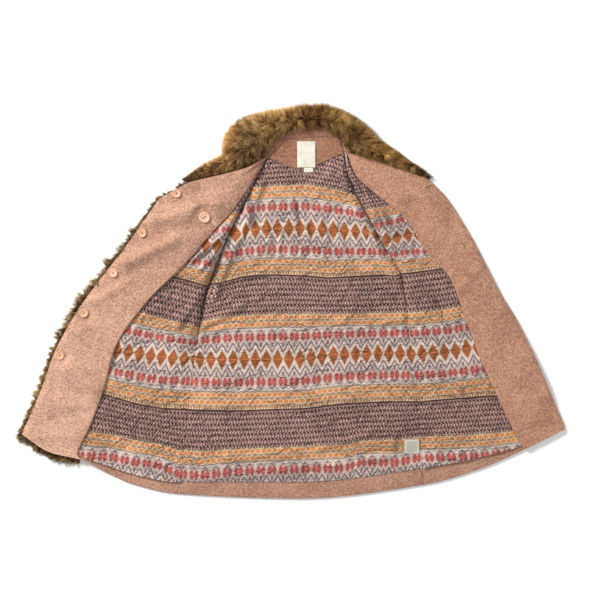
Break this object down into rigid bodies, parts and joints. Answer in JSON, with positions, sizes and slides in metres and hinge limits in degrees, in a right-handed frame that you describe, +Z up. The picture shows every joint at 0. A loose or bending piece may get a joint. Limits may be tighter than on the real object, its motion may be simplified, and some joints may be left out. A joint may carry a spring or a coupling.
{
  "type": "wool coat",
  "caption": "Wool coat with a fur collar and fur front edge, laid open on its back so that its patterned lining, facings and inner buttons show",
  "frame": {"origin": "middle of the bounding box, on the surface that the coat lies on", "axes": "+X to the wearer's left, which is the viewer's right; +Y from hem to collar; +Z up from the surface, through the layers to the lining"},
  "size_m": [1.2316, 0.8879, 0.0282],
  "materials": {
    "wool": "thick nubbly boucle wool, matt, peach pink",
    "lining": "smooth printed lining with a soft sheen, banded geometric pattern",
    "fur": "long soft fur, golden brown with dark patches",
    "button": "satin peach plastic",
    "label": "cream woven satin, bare"
  },
  "bodies": {
    "root": {"back": "wool", "back_hem_turn_up": "wool", "back_neck_facing": "wool", "back_lining": "lining", "right_front": "wool", "right_front_facing": "wool", "right_front_hem_turn_up": "wool", "right_front_lining": "lining", "right_sleeve": "wool", "left_front": "wool", "left_front_facing": "wool", "left_front_hem_turn_up": "wool", "left_front_lining": "lining", "left_sleeve": "wool", "fur_placket": "fur", "undercollar": "wool", "collar_stand": "wool", "fur_collar": "fur", "backing_button_1": "button", "backing_button_2": "button", "backing_button_3": "button", "backing_button_4": "button", "backing_button_5": "button", "jigger_button": "button", "neck_label": "label", "size_tab": "label", "care_label": "label"}
  },
  "joints": []
}
